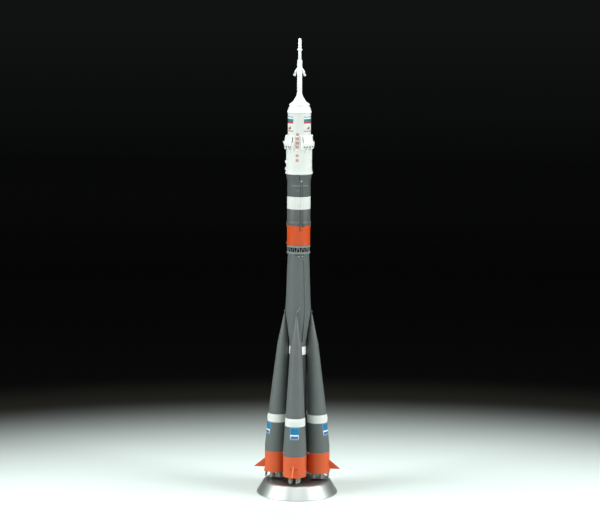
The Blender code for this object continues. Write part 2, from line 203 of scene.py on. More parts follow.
def newMaterial(name, group, values, bump, distance, metallic=0.0, coat=0.0):
    material = bpy.data.materials.new(name)
    material.use_nodes = True
    tree = material.node_tree
    effect = addNode(tree, "Group", node_tree=group)
    for label, value in values.items():
        effect.inputs[label].default_value = toLinear(value) if isinstance(value, tuple) else value
    height = effect.outputs["Height"]
    relief = addNode(tree, "Bump", {"Strength": bump, "Distance": distance * mm, "Height": height})
    fill(tree, tree.nodes["Principled BSDF"], {
        "Base Color": effect.outputs["Color"],
        "Roughness": effect.outputs["Roughness"],
        "Normal": relief.outputs["Normal"],
        "Metallic": metallic,
        "Coat Weight": coat,
    })
    return material


paintLook = {
    # name: paint, dark colour for seam wash and painted shade, mottle, roughness
    # The greys are one grey paint in copies made lighter or darker for how light falls on each part: painted
    # light and shade. The stage's copy is darker, painted shade on the upper parts.
    "greyPaint": ((0.384, 0.413, 0.408), (0.12, 0.14, 0.14), 0.08, 0.5),
    "coreGrey": ((0.376, 0.405, 0.402), (0.1, 0.12, 0.12), 0.08, 0.5),
    # the core's lower tube is painted darker: painted shade, as it lies in the gap between the boosters
    "coreShadeGrey": ((0.27, 0.295, 0.29), (0.08, 0.1, 0.1), 0.08, 0.55),
    "stageGrey": ((0.35, 0.378, 0.374), (0.1, 0.12, 0.12), 0.07, 0.5),
    "whitePaint": ((0.914, 0.938, 0.919), (0.5, 0.53, 0.54), 0.02, 0.42),
    # a lighter copy of the white paint for the fairing's nose, the tower and the core's band: painted light
    "topWhite": ((0.985, 1.0, 0.985), (0.6, 0.63, 0.64), 0.02, 0.42),
    "bandWhite": ((0.893, 0.918, 0.898), (0.5, 0.53, 0.54), 0.03, 0.45),
    "orangePaint": ((0.85, 0.35, 0.14), (0.42, 0.08, 0.05), 0.07, 0.45),
    # a lighter orange for the fins' edges: a painted highlight
    "finEdgeOrange": ((1.0, 0.5, 0.28), (0.42, 0.08, 0.05), 0.05, 0.45),
    "stageOrange": ((0.84, 0.31, 0.07), (0.42, 0.08, 0.05), 0.05, 0.45),
    # dark paint for seams, and painted shade: in recesses, beside the core duct's foot, on the lattice's
    # inner sides and on the panels' slots and hinge spots
    "darkRecess": ((0.07, 0.075, 0.08), (0.02, 0.02, 0.02), 0.1, 0.8),
    # dark lines for seams and holes; beside the ducts they are also painted shade along the ducts' edges
    "seamLine": ((0.24, 0.27, 0.27), (0.1, 0.1, 0.1), 0.1, 0.7),
    "darkRed": ((0.5, 0.1, 0.07), (0.2, 0.05, 0.04), 0.1, 0.6),
    "latticeGrey": ((0.5, 0.53, 0.52), (0.1, 0.12, 0.12), 0.07, 0.5),
    "tieSilver": ((0.66, 0.68, 0.67), (0.2, 0.2, 0.2), 0.05, 0.4),
    "hoopGrey": ((0.68, 0.7, 0.7), (0.3, 0.3, 0.3), 0.05, 0.6),
    "shadeGrey": ((0.22, 0.24, 0.24), (0.1, 0.12, 0.12), 0.08, 0.6),
    "softShadowGrey": ((0.58, 0.61, 0.62), (0.3, 0.3, 0.3), 0.08, 0.6),
    "bracketGrey": ((0.25, 0.27, 0.3), (0.1, 0.1, 0.1), 0.1, 0.6),
}
metalLook = {
    # name: metal, dark metal, roughness, dullness
    "standSilver": ((0.8, 0.83, 0.815), (0.48, 0.52, 0.5), 0.4, 0.08),
    "nozzleSilver": ((0.66, 0.64, 0.62), (0.05, 0.045, 0.045), 0.26, 0.15),
    "nozzleDark": ((0.16, 0.15, 0.14), (0.04, 0.04, 0.04), 0.45, 0.2),
}
inkLook = {
    # name: ink, thin ink
    "lineGrey": ((0.38, 0.42, 0.43), (0.48, 0.52, 0.53)),
    "stripeWhite": ((0.86, 0.98, 1.0), (0.78, 0.94, 0.98)),
    "stripeBlue": ((0.3, 0.46, 0.55), (0.38, 0.54, 0.62)),
    "stripeRed": ((0.74, 0.26, 0.26), (0.84, 0.44, 0.4)),
    "markRed": ((0.84, 0.57, 0.54), (0.92, 0.74, 0.71)),
    "wedgeRed": ((0.6, 0.2, 0.22), (0.74, 0.36, 0.36)),
    "plateBlue": ((0.04, 0.47, 0.66), (0.08, 0.56, 0.75)),
    "plateFrame": ((0.4, 0.62, 0.78), (0.54, 0.76, 0.88)),
    "plateWhite": ((0.92, 0.95, 0.97), (0.84, 0.9, 0.95)),
    "plateNavy": ((0.3, 0.36, 0.52), (0.42, 0.48, 0.64)),
}
materialRows = (
    # group, the inputs that its table fills, table, settings
    (sprayedPaint, ("Paint", "WashAndShade", "Mottle", "Roughness"), paintLook, {"bump": 0.25, "distance": 0.03}),
    (
        turnedMetal,
        ("Metal", "Dark Metal", "Roughness", "Dullness"),
        metalLook,
        {"bump": 0.12, "distance": 0.01, "metallic": 1.0},
    ),
    (printedFilm, ("Ink", "Thin Ink"), inkLook, {"bump": 0.1, "distance": 0.02, "coat": 0.15}),
)
finish = {}
for group, labels, table, settings in materialRows:
    for name, values in table.items():
        finish[name] = newMaterial(name, group, dict(zip(labels, values)), **settings)
tubePaint = finish["coreShadeGrey"].node_tree  # matt, because the tube lies in the gap between the boosters
fill(tubePaint, tubePaint.nodes["Principled BSDF"], {"Specular IOR Level": 0.1})
print("materials made:", len(finish))


# Mesh helpers

def newMesh():
    bm = bmesh.new()
    bm.verts.layers.float.new("seamWashAndShade")
    return bm


def spun(bm, profile, sides, place=None, slot=0, ring=False):
    # rows of (radius, height) or (radius, height, darkness of seam wash and painted shade), turned about Z
    place = place or Matrix()
    seamWashAndShade = bm.verts.layers.float["seamWashAndShade"]
    rows = []
    for point in profile:
        radius, height = point[0] * mm, point[1] * mm
        count = sides if radius > 1e-7 else 1
        row = []
        for step in range(count):
            turn = math.tau * step / sides
            vertex = bm.verts.new(place @ Vector((radius * math.cos(turn), radius * math.sin(turn), height)))
            vertex[seamWashAndShade] = point[2] if len(point) > 2 else 0.0
            row.append(vertex)
        rows.append(row)
    for upper, lower in zip(rows, rows[1:] + rows[:1] * ring):
        for step in range(sides):
            pair = (step, (step + 1) % sides)
            corners = [upper[n % len(upper)] for n in pair] + [lower[n % len(lower)] for n in pair[::-1]]
            unique = list(dict.fromkeys(corners))
            if len(unique) > 2:
                bm.faces.new(unique).material_index = slot
    return bm


def softened(profile, radius, steps):
    # rounds each corner of a profile but its ends and those that have a third value, even 0
    soft = [profile[0]]
    for before, corner, after in zip(profile, profile[1:], profile[2:]):
        point = Vector(corner[:2])
        back, ahead = Vector(before[:2]) - point, Vector(after[:2]) - point
        reach = min(radius, back.length * 0.45, ahead.length * 0.45)
        if reach < 0.02 or back.angle(-ahead) < 0.06 or len(corner) > 2:
            soft.append(corner)
            continue
        start, end = point + back.normalized() * reach, point + ahead.normalized() * reach
        for step in range(steps + 1):
            t = step / steps
            curve = start * (1 - t) ** 2 + point * 2 * t * (1 - t) + end * t * t
            soft.append((curve.x, curve.y))
    return soft + [profile[-1]]


def grooved(profile, heights, depth=0.07, width=0.12):
    # cuts a fine ring groove, with wash in it, at each height of the profile's falling outer side
    made = [profile[0]]
    for upper, lower in zip(profile, profile[1:]):
        for height in sorted(heights, reverse=True):
            if upper[1] - width > height > lower[1] + width:
                radius = upper[0] + (lower[0] - upper[0]) * (upper[1] - height) / (upper[1] - lower[1])
                made += [(radius, height + width), (radius - depth, height, 1.0), (radius, height - width)]
        made.append(lower)
    return made


def around(turn, reach, height):
    # a point in mm: radians round Z from +X, distance out, height
    return Vector((reach * math.cos(turn), reach * math.sin(turn), height))


def pointed(start, along):
    # carries the origin to start, in mm, and turns Z to the direction along
    return Matrix.Translation(start * mm) @ along.to_track_quat("Z", "Y").to_matrix().to_4x4()


def rodBetween(bm, start, end, startRadius, endRadius, sides, slot=0):
    start, end = Vector(start), Vector(end)
    length = (end - start).length
    edge = min(startRadius, endRadius) * 0.18
    profile = [
        (0, length), (endRadius - edge, length), (endRadius, length - edge),
        (startRadius, edge), (startRadius - edge, 0), (0, 0),
    ]
    return spun(bm, profile, sides, pointed(start, end - start), slot)


def roundedBox(bm, centre, size, edge, place=None):
    made = bmesh.ops.create_cube(bm, size=1)
    bmesh.ops.scale(bm, vec=Vector(size) * mm, verts=made["verts"])
    edges = list({e for v in made["verts"] for e in v.link_edges})
    bevelled = bmesh.ops.bevel(bm, geom=edges, offset=edge * mm, segments=2, affect="EDGES", profile=0.6)
    vertices = list({v for f in bevelled["faces"] for v in f.verts})
    matrix = (place or Matrix()) @ Matrix.Translation(Vector(centre) * mm)
    bmesh.ops.transform(bm, matrix=matrix, verts=vertices)
    return vertices


def bentPlate(bm, left, right, low, high, inner, outer, columns, rows=1, slot=0, slant=0.0):
    # a thin plate in mm: along the wall, out from it and up, to be laid on a wall afterwards
    grid = bmesh.ops.create_grid(bm, x_segments=columns, y_segments=rows, size=0.5)["verts"]
    for vertex in grid:
        across, up = vertex.co.x + 0.5, vertex.co.y + 0.5
        vertex.co = Vector((left + (right - left) * across + slant * up, outer, low + (high - low) * up)) * mm
    faces = list({f for v in grid for f in v.link_faces})
    sides = bmesh.ops.extrude_face_region(bm, geom=faces)["geom"]
    back = [v for v in sides if isinstance(v, bmesh.types.BMVert)]
    for vertex in back:
        vertex.co.y = inner * mm
    for face in {f for v in grid + back for f in v.link_faces}:
        face.material_index = slot
    return grid + back


def outlinePlate(bm, outline, thickness, edge=0.12, slot=0):
    # an upright plate of (distance out, height), thick along Y, with softened edges
    half = thickness / 2 * mm
    front = bm.faces.new([bm.verts.new((out * mm, -half, height * mm)) for out, height in outline])
    front.material_index = slot
    made = bmesh.ops.extrude_face_region(bm, geom=[front])["geom"]
    back = [v for v in made if isinstance(v, bmesh.types.BMVert)]
    bmesh.ops.translate(bm, vec=(0, 2 * half, 0), verts=back)
    vertices = list(front.verts) + back
    if edge:
        edges = list({e for v in vertices for e in v.link_edges})
        bmesh.ops.bevel(bm, geom=edges, offset=edge * mm, segments=2, affect="EDGES", profile=0.6)
    return vertices


def valueAt(table, height):
    # table of (height, value), rising
    if height <= table[0][0]:
        return table[0][1]
    for low, high in zip(table, table[1:]):
        if height <= high[0]:
            return low[1] + (high[1] - low[1]) * (height - low[0]) / (high[0] - low[0])
    return table[-1][1]


def laidOn(vertices, wall, azimuth, centres=None):
    # bends points (along, out, up) round a wall of (height, radius) at an azimuth
    for vertex in vertices:
        height = vertex.co.z / mm
        radius = valueAt(wall, height) * mm
        turn = math.radians(azimuth - 90) + vertex.co.x / radius
        out = radius + vertex.co.y
        shift = valueAt(centres, height) * mm if centres else 0.0
        vertex.co.x, vertex.co.y = shift + out * math.cos(turn), out * math.sin(turn)


def leant(bm):
    # sets a booster part over the leaning line of centres
    for vertex in bm.verts:
        vertex.co.x += valueAt(boosterCentres, vertex.co.z / mm) * mm
    return bm


def movedOut(bm, distance):
    # sets an upright booster part out to the right
    for vertex in bm.verts:
        vertex.co.x += distance * mm
    return bm


def finished(name, bm, looks, standsFor=(), angle=38, turn=0.0):
    bmesh.ops.recalc_face_normals(bm, faces=bm.faces)
    mesh = bpy.data.meshes.new(name)
    bm.to_mesh(mesh)
    bm.free()
    mesh.shade_smooth()
    mesh.set_sharp_from_angle(angle=math.radians(angle))
    for look in looks:
        mesh.materials.append(finish[look])
    return placed(name, mesh, standsFor, turn)


def placed(name, mesh, standsFor, turn):
    piece = bpy.data.objects.new(name, mesh)
    piece.rotation_euler.z = math.radians(turn)
    scene.collection.objects.link(piece)
    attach(piece, "root")
    if standsFor:
        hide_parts(*standsFor)
    return piece


def repeated(bm, looks, rows):
    # one mesh, shown once for each row of (name, the nodes it stands for, turn)
    name, standsFor, turn = rows[0]
    mesh = finished(name, bm, looks, standsFor, turn=turn).data
    for name, standsFor, turn in rows[1:]:
        placed(name, mesh, standsFor, turn)


# Walls that small parts and markings are laid on: (height, radius), rising
coreWall = (
    (32.2, 6.7), (119.5, 6.7), (143.0, 9.8), (145.0, 9.9), (155.5, 9.33), (166.0, 8.95), (176.0, 8.72),
    (188.1, 8.15),
)
stageWall = (
    (195.15, 8.87), (208.4, 8.87), (209.9, 9.35), (212.7, 9.35), (213.6, 8.92), (244.75, 8.92),
    (246.9, 9.35), (249.8, 9.75),
)
fairingWall = ((251.7, 10.1), (252.3, 10.1), (254.2, 9.88), (268.4, 9.88), (272.0, 8.8), (296.4, 8.8))
boosterWall = ((17.0, 8.95), (37.0, 8.95), (74.0, 6.85), (118.0, 4.4), (140.5, 0.6))
boosterCentres = ((30.0, 16.5), (37.0, 16.4), (74.0, 14.5), (118.0, 11.47), (140.5, 10.5), (144.0, 10.5))
boosterFoot = 16.5  # the tail's distance from the rocket's axis


def wallOf(name):
    return coreWall if name.startswith("core") else stageWall


# Rounded blocks set into the walls: the small box on the skirt, the vents and the knob on the fairing
blockLook = {
    # on what: azimuth, height, size along, out and up, edge, radius of its middle
    "stageSkirt": ((-83.5, 196.5, (1.5, 1.1, 1.3), 0.2, 8.95),),
    "fairingLowerBarrel": (
        (-83.5, 259.1, (1.7, 1.5, 2.2), 0.25, 10.0),
        (-83.5, 253.7, (1.7, 1.5, 2.2), 0.25, 10.0),
    ),
    "fairingUpperBarrel": ((-88, 273.9, (1.5, 3.8, 1.8), 0.35, 10.5),),
}


def addBlocks(bm, name):
    for azimuth, height, size, edge, radius in blockLook.get(name, ()):
        laidOn(roundedBox(bm, (0, 0, height), size, edge), ((0, radius),), azimuth)


# Stand

standLook = {
    "sides": 160,
    # the third value darkens the top where it lies under the engines: painted shade
    "profile": [
        (0, 10.0, 1.0), (14.0, 10.0, 1.0), (19.0, 10.0, 0.45), (23.5, 10.0, 0.35), (25.0, 10.0), (26.1, 9.3),
        (31.6, 0.3), (31.6, 0.0), (0, 0.0),
    ],
    "cornerRadius": 0.7,
}
bm = spun(newMesh(), softened(standLook["profile"], standLook["cornerRadius"], 5), standLook["sides"])
finished("standBase", bm, ["standSilver"], ["stand_base"], angle=60)
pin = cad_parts["stand_pin"]
pin.data.materials.clear()
pin.data.materials.append(finish["standSilver"])
pin.data.shade_smooth()
print("stand made")


# Engines

# A third value in the engines' rows darkens the metal: painted shade on the plates under the skirts and
# inside the bells.
bellLook = {
    "flared": 0.78,  # share of the length that widens
    "curve": 0.72,  # under 1 it swells close to the throat
    "steps": 9,
    "hoop": 0.09,
    "hoopSteps": (3, 6),
    "insideTop": 0.55,  # how far up the hollow reaches
    "rimShade": 0.25,
}
mainBell = {"top": 20.6, "exitHeight": 11.6, "throat": 0.9, "exitRadius": 1.75}
steeringBell = [
    (0, 15.7), (0.36, 15.7), (0.42, 15.2), (0.55, 14.2), (0.78, 12.0), (0.68, 12.0, 0.4),
    (0.3, 14.6, 1.0), (0, 14.7, 1.0),
]
coreEngine = {
    "plate": [(1.32, 20.9), (5.8, 20.9), (5.8, 19.9), (1.32, 19.9)],
    "bell": mainBell,
    "offset": 2.85,
    "strut": ((1.6, 19.9), (2.4, 16.4)),  # offset and height at its root and foot
    "strutRadius": 0.22,
    "steeringReach": 5.3,
    "stem": (5.3, 20.0, 15.2, 0.36),  # distance out, top, foot, radius
}
boosterEngine = {
    "plate": [(0, 20.9, 1.0), (7.85, 20.9, 1.0), (7.85, 19.9, 1.0), (0, 19.9, 1.0)],
    "bell": mainBell,
    "offset": 2.95,
    "strut": ((1.2, 19.9), (2.5, 16.2)),
    "strutRadius": 0.22,
    "hub": (20.0, 17.4, 1.0, 0.8),  # top, foot, and the radius at each
    "steeringAngles": (-17, 17),
    "steeringReach": 8.25,
    "stem": (6.6, 20.0, 15.1, 0.42),
    "arm": (6.5, 8.3, 15.3, 0.3),  # from and to, height, radius
}
stageEngine = {
    "plate": [(0, 198.0, 1.0), (7.3, 198.0, 1.0), (7.3, 197.0, 1.0), (0, 197.0, 1.0)],
    "bell": {"top": 197.5, "exitHeight": 190.0, "throat": 0.6, "exitRadius": 1.6, "sides": 24, "thick": 0.1},
    "offset": 2.5,
}


def addBell(bm, x, y, top, exitHeight, throat, exitRadius, sides=28, thick=0.13):
    length = top - exitHeight
    flared = length * bellLook["flared"]
    steps, rimShade = bellLook["steps"], bellLook["rimShade"]
    outer = [(0, top), (throat, top), (throat, exitHeight + flared)]
    inner = []
    for step in range(1, steps + 1):
        t = step / steps
        radius = throat + (exitRadius - throat) * t ** bellLook["curve"]
        height = exitHeight + flared * (1 - t)
        hoop = bellLook["hoop"] if step in bellLook["hoopSteps"] else 0.0
        outer.append((radius + hoop, height))
        inner.append((radius - thick, height, rimShade + (1 - rimShade) * (1 - t)))
    profile = outer + inner[::-1] + [(0, exitHeight + length * bellLook["insideTop"], 1.0)]
    spun(bm, profile, sides, Matrix.Translation(Vector((x, y, 0)) * mm))


def addMainBells(bm, engine):
    # four bells in a square, each with its strut where the engine has them
    for x in (1, -1):
        for y in (1, -1):
            addBell(bm, x * engine["offset"], y * engine["offset"], **engine["bell"])
            if "strut" in engine:
                root, foot = ((x * offset, y * offset, height) for offset, height in engine["strut"])
                rodBetween(bm, root, foot, engine["strutRadius"], engine["strutRadius"], 8)


def addSteeringBell(bm, turn, engine):
    # a small bell, and the stem that comes down beside it or inside it
    spun(bm, steeringBell, 20, Matrix.Translation(around(turn, engine["steeringReach"], 0) * mm))
    reach, top, foot, radius = engine["stem"]
    rodBetween(bm, around(turn, reach, top), around(turn, reach, foot), radius, radius, 12)


bm = spun(newMesh(), coreEngine["plate"], 40, ring=True)
addMainBells(bm, coreEngine)
for step in range(4):
    addSteeringBell(bm, math.tau * step / 4, coreEngine)
finished("coreEngineBells", bm, ["nozzleSilver"], ["core_engine"])

bm = spun(newMesh(), boosterEngine["plate"], 40)
addMainBells(bm, boosterEngine)
top, foot, topRadius, footRadius = boosterEngine["hub"]
rodBetween(bm, (0, 0, top), (0, 0, foot), topRadius, footRadius, 16)
start, end, height, radius = boosterEngine["arm"]
for angle in boosterEngine["steeringAngles"]:
    turn = math.radians(angle)
    addSteeringBell(bm, turn, boosterEngine)
    rodBetween(bm, around(turn, start, height), around(turn, end, height), radius, radius, 10)
boosterEngineMesh = movedOut(bm, boosterFoot)
print("engines made")

# Boosters: made once on the right side, then copied round

boosterLook = {
    "sides": 72,
    "nose": [(0, 140.9), (0.3, 140.9), (0.6, 140.5), (4.4, 118.0), (6.85, 74.0), (7.51, 62.45), (0, 62.45)],
    "noseGrooves": (118.0, 74.0),
    "ball": [(0, 144.0), (0.34, 143.9), (0.5, 143.5), (0.5, 143.1), (0.3, 142.6), (0.24, 140.0), (0, 140.0)],
    "band": [
        (0, 62.4), (7.6, 62.4), (8.02, 61.4), (8.26, 60.2), (8.3, 59.3), (8.12, 57.4), (7.95, 56.1),
        (0, 56.1),
    ],
    "bandInner": 0.25,  # how much of the bulge is left at the sides and the inner side
    "lower": [(0, 56.05), (7.87, 56.05), (8.95, 37.0), (8.95, 32.85), (0, 32.85)],
    # the third value darkens the skirt's inside: painted shade
    "skirt": [(0, 32.8), (8.95, 32.8), (8.95, 16.5), (8.25, 16.5), (8.25, 20.95, 1.0), (0, 20.95, 1.0)],
    "podAngles": (-17, 17),
    "podFoot": (8.55, 16.1),  # distance out, height
    "podTop": (8.3, 20.5),
    "podRadii": (1.15, 0.5),
    # aside, half width, low, high, columns
    "hingeSlots": ((2.0, 0.85, 22.8, 23.15, 5), (2.4, 0.3, 23.3, 23.9, 3)),
    "finOutline": ((25.3, 26.0), (33.5, 19.4), (33.5, 18.9), (25.3, 18.8)),
    "finThickness": 0.8,
}

boosterMeshes = {}
sides = boosterLook["sides"]
bm = spun(newMesh(), grooved(boosterLook["nose"], boosterLook["noseGrooves"]), sides)
spun(bm, boosterLook["ball"], 20)
boosterMeshes["nose_cone"] = (leant(bm), ["greyPaint"])
bm = spun(newMesh(), softened(boosterLook["band"], 0.12, 2), sides)
for vertex in bm.verts:
    reach, flush = vertex.co.xy.length, valueAt(boosterWall, vertex.co.z / mm) * mm
    if reach > flush:
        share = boosterLook["bandInner"] + (1 - boosterLook["bandInner"]) * max(vertex.co.x / reach, 0.0) ** 2
        vertex.co.xy *= (flush + (reach - flush) * share) / reach
boosterMeshes["white_band"] = (leant(bm), ["bandWhite"])
bm = spun(newMesh(), boosterLook["lower"], sides)
boosterMeshes["lower_body"] = (leant(bm), ["greyPaint"])
bm = spun(newMesh(), boosterLook["skirt"], sides)
for angle in boosterLook["podAngles"]:
    foot, top = (around(math.radians(angle), *boosterLook[end]) for end in ("podFoot", "podTop"))
    rodBetween(bm, foot, top, *boosterLook["podRadii"], 24)
for side in (-1, 1):  # the hinge slots beside the fin
    for aside, half, low, high, columns in boosterLook["hingeSlots"]:
        middle = side * aside
        marks = bentPlate(bm, middle - half, middle + half, low, high, -0.2, 0.04, columns, slot=1)
        laidOn(marks, boosterWall, 90)
boosterMeshes["tail_skirt"] = (movedOut(bm, boosterFoot), ["orangePaint", "darkRed"])
boosterMeshes["engine"] = (boosterEngineMesh, ["nozzleSilver"])
bm = newMesh()
outlinePlate(bm, boosterLook["finOutline"], boosterLook["finThickness"])
bm.normal_update()
for face in bm.faces:  # the edges are painted lighter than the flat sides: a painted highlight
    face.material_index = int(abs(face.normal.y) < 0.5)
boosterMeshes["fin"] = (bm, ["orangePaint", "finEdgeOrange"])

boosterSides = {"right": 0, "back": 90, "left": 180, "front": 270}
for kind, (bm, looks) in boosterMeshes.items():
    rows = []
    for side, turn in boosterSides.items():
        name = "booster" + side.title() + kind.title().replace("_", "")
        rows.append((name, [f"booster_{side}_{kind}"], turn))
    repeated(bm, looks, rows)

# Blank printed plates under the white bands: on the outer side at front and back, and turned to the
# front on the side boosters
plateLook = {
    "width": 7.3,
    "low": 46.4,
    "high": 55.6,
    "turns": {"front": 3.5, "back": 0, "left": 29, "right": -27},
    "frame": 0.32,
    "barInset": 0.7,
    "shares": (0.43, 0.12, 0.12, 0.3),  # of the height: blue from, white from, bar from and to
}
looks = ["plateFrame", "plateBlue", "plateWhite", "plateNavy"]
half, low, high = plateLook["width"] / 2, plateLook["low"], plateLook["high"]
field, top, bar = half - plateLook["frame"], high - plateLook["frame"], half - plateLook["barInset"]
blueLow, whiteLow, barLow, barHigh = (low + (high - low) * share for share in plateLook["shares"])
for side, bend in plateLook["turns"].items():
    bm = newMesh()
    vertices = bentPlate(bm, -half, half, low, high, -0.15, 0.03, 12, 3)
    vertices += bentPlate(bm, -field, field, blueLow, top, 0.0, 0.05, 12, 3, slot=1)
    vertices += bentPlate(bm, -field, field, whiteLow, blueLow, 0.0, 0.05, 12, 2, slot=2)
    vertices += bentPlate(bm, -bar, bar, barLow, barHigh, 0.0, 0.065, 10, 1, slot=3)
    laidOn(vertices, boosterWall, 90 + bend, boosterCentres)
    finished("booster" + side.title() + "Plate", bm, looks, turn=boosterSides[side])
print("boosters made")

# Ties between the core's tail and the boosters

tieLook = {
    "foot": (7.45, 0, 32.3),
    "footSize": (0.9, 1.2, 5.4),
    "root": 5.35,
    "rootHeights": (34.4, 30.4),
    "ends": ((10.6, 7.6, 32.2), (7.6, 10.6, 32.2)),
}
bm = newMesh()
roundedBox(bm, tieLook["foot"], tieLook["footSize"], 0.15, Matrix.Rotation(math.radians(45), 4, "Z"))
for end in tieLook["ends"]:
    for height in tieLook["rootHeights"]:
        rodBetween(bm, (tieLook["root"], tieLook["root"], height), end, 0.3, 0.3, 12, slot=1)
rows = [(f"boosterTie{number + 1}", [f"booster_tie_{number + 1}"], 90 * number) for number in range(4)]
repeated(bm, ["greyPaint", "tieSilver"], rows)

# Core stage and third stage: turned bodies, one row each

turnedBodies = {
    # name: the node it stands for, look, groove heights, profile
    # a third value in a row darkens the paint: painted shade inside the skirts and on the core's top under
    # the lattice
    "coreTail": ("core_tail", "orangePaint", (), [
        (0, 32.8), (7.25, 32.8), (7.25, 24.0), (7.48, 19.5), (7.48, 16.5), (6.0, 16.5),
        (6.0, 20.95, 1.0), (1.32, 20.95, 1.0), (1.32, 26.85, 1.0), (0, 26.85),
    ]),
    "coreLowerTube": ("core_lower_tube", "coreShadeGrey", (96.0, 60.0), [
        (0, 109.55), (6.7, 109.55), (6.95, 104.0), (7.2, 92.0), (7.25, 60.0), (7.25, 32.85), (0, 32.85),
    ]),
    "coreWhiteBand": ("core_white_band", "topWhite", (), [
        (0, 116.0), (6.78, 116.0), (6.78, 109.6), (0, 109.6),
    ]),
    "coreUpperBody": ("core_upper_body", "coreGrey", (), [
        (0, 188.5, 1.0), (7.7, 188.5, 1.0), (8.1, 188.5), (8.15, 188.1), (8.72, 176.0), (8.95, 166.0),
        (9.33, 155.5), (9.9, 145.0), (9.8, 143.0), (6.7, 119.5), (6.7, 116.05), (0, 116.05),
    ]),
    "stageSkirt": ("stage_skirt", "stageOrange", (195.5,), [
        (0, 210.3), (9.35, 210.3), (9.35, 209.9), (8.87, 208.4), (8.87, 195.15),
        (7.7, 195.15, 1.0), (7.7, 198.1, 1.0), (0, 198.1, 1.0),
    ]),
    "stageLowerBody": ("stage_lower_body", "stageGrey", (), [
        (0, 223.05), (8.92, 223.05), (8.92, 213.6), (9.35, 212.7), (9.35, 210.35), (0, 210.35),
    ]),
    "stageWhiteBand": ("stage_white_band", "bandWhite", (), [
        (0, 232.7), (8.97, 232.7), (8.97, 223.1), (0, 223.1),
    ]),
    "stageUpperBody": ("stage_upper_body", "stageGrey", (), [
        (0, 244.75), (8.92, 244.75, 0.0), (8.92, 232.75), (0, 232.75),
    ]),
    "adapterCone": ("adapter_cone", "stageGrey", (), [
        (0, 249.8), (9.75, 249.8), (9.35, 246.9), (8.95, 244.8), (0, 244.8),
    ]),
}
for name, (node, look, grooves, profile) in turnedBodies.items():
    bm = spun(newMesh(), grooved(softened(profile, 0.1, 2), grooves), 96)
    addBlocks(bm, name)
    finished(name, bm, [look], [node])

# Raised cable ducts and the small fittings on the walls

ductLook = {
    "core": {
        "azimuth": 41,
        "width": 1.5,
        "wall": coreWall,
        "lengths": ((120.2, 187.4, 0),),  # low, high, look
        "looks": ["coreGrey", "seamLine"],
    },
    "stage": {
        "azimuth": 19.4,
        "width": 1.1,
        "wall": stageWall,
        "lengths": ((214.0, 223.05, 0), (223.1, 232.7, 2), (232.75, 242.3, 0)),
        "looks": ["stageGrey", "shadeGrey", "bandWhite"],
    },
}
ductShape = {
    "rowHeight": 1.7,
    "rise": 0.55,
    "rounding": 0.25,
    "seamAside": 0.16,
    "seamShift": 0.06,  # both seams sit a little to the right
    "seamHalf": 0.22,
}
for where, duct in ductLook.items():
    bm = newMesh()
    half = duct["width"] / 2
    grid = []
    for low, high, look in duct["lengths"]:
        rows = max(2, round((high - low) / ductShape["rowHeight"]))
        for vertex in bentPlate(bm, -half, half, low, high, -0.1, ductShape["rise"], 6, rows, slot=look):
            if vertex.co.y > 0:  # a rounded back
                vertex.co.y -= ductShape["rounding"] * mm * (vertex.co.x / (half * mm)) ** 4
            grid.append(vertex)
        if look != 2:  # no seams on the white band
            # the dark strips beside the duct: its joint lines, and painted shade along its edges
            for side in (-1, 1):
                seam = side * half + ductShape["seamShift"] + side * ductShape["seamAside"]
                left, right = seam - ductShape["seamHalf"], seam + ductShape["seamHalf"]
                grid += bentPlate(bm, left, right, low, high, -0.1, 0.04, 1, rows, slot=1)
    laidOn(grid, duct["wall"], duct["azimuth"])
    finished(where + "CableDuct", bm, duct["looks"], [where + "_cable_duct"])

# The duct's splayed foot on the flange, and the joint lines on the orange below it
ductFootLook = {
    "azimuth": 20.5,
    "high": 214.6,
    "low": 210.4,
    "legs": ((-0.2, -1.25), (0.2, 1.55)),  # along the wall at the top and at the bottom
    "legHalf": 0.32,
    "seamAside": 0.5,
    "seamHalf": 0.16,
    # along the wall from and to, low, high
    "lines": ((-1.5, -0.95, 206.4, 211.4), (-1.15, 0.6, 206.9, 207.25), (1.4, 2.1, 209.4, 210.1)),
    "clips": ((-1.6, -0.95, 209.4, 210.2), (0.25, 0.9, 209.5, 210.2)),
}
bm = newMesh()
vertices = []
low, high = ductFootLook["low"], ductFootLook["high"]
half, seamHalf = ductFootLook["legHalf"], ductFootLook["seamHalf"]
for top, foot in ductFootLook["legs"]:
    slant = top - foot
    vertices += bentPlate(bm, foot - half, foot + half, low, high, -0.1, 0.5, 2, 8, slant=slant)
    # a dark strip beside each leg: a joint line, and painted shade along the leg's edge
    seam = foot + math.copysign(ductFootLook["seamAside"], foot)
    left, right = seam - seamHalf, seam + seamHalf
    vertices += bentPlate(bm, left, right, low, high, -0.1, 0.08, 1, 8, slot=1, slant=slant)
for left, right, low, high in ductFootLook["lines"]:
    vertices += bentPlate(bm, left, right, low, high, -0.1, 0.05, 4, 4, slot=2)
for left, right, low, high in ductFootLook["clips"]:
    vertices += bentPlate(bm, left, right, low, high, -0.1, 0.3, 2, 3)
laidOn(vertices, stageWall, ductFootLook["azimuth"])
finished("stageDuctFoot", bm, ["stageGrey", "seamLine", "darkRed"])

fittingLook = {
    # name: azimuth, height, radius, how far out, look
    "coreFittingA": (8.0, 186.7, 0.6, 0.5, "hoopGrey"),
    "coreFittingB": (29.5, 186.9, 0.55, 0.5, "tieSilver"),
    "coreFittingC": (35.0, 184.5, 0.4, 0.45, "hoopGrey"),
    "coreHoleA": (4.7, 185.5, 0.36, 0.06, "seamLine"),
    "coreHoleB": (20.0, 185.8, 0.3, 0.06, "seamLine"),
    "stageDot": (19.4, 244.9, 0.55, 0.5, "whitePaint"),
}
for name, (azimuth, height, size, out, look) in fittingLook.items():
    bm = newMesh()
    turn = math.radians(azimuth - 90)
    radius = valueAt(wallOf(name), height)
    foot, head = around(turn, radius - 0.3, height), around(turn, radius + out, height)
    rodBetween(bm, foot, head, size, size * 0.75, 16)
    finished(name, bm, [look])

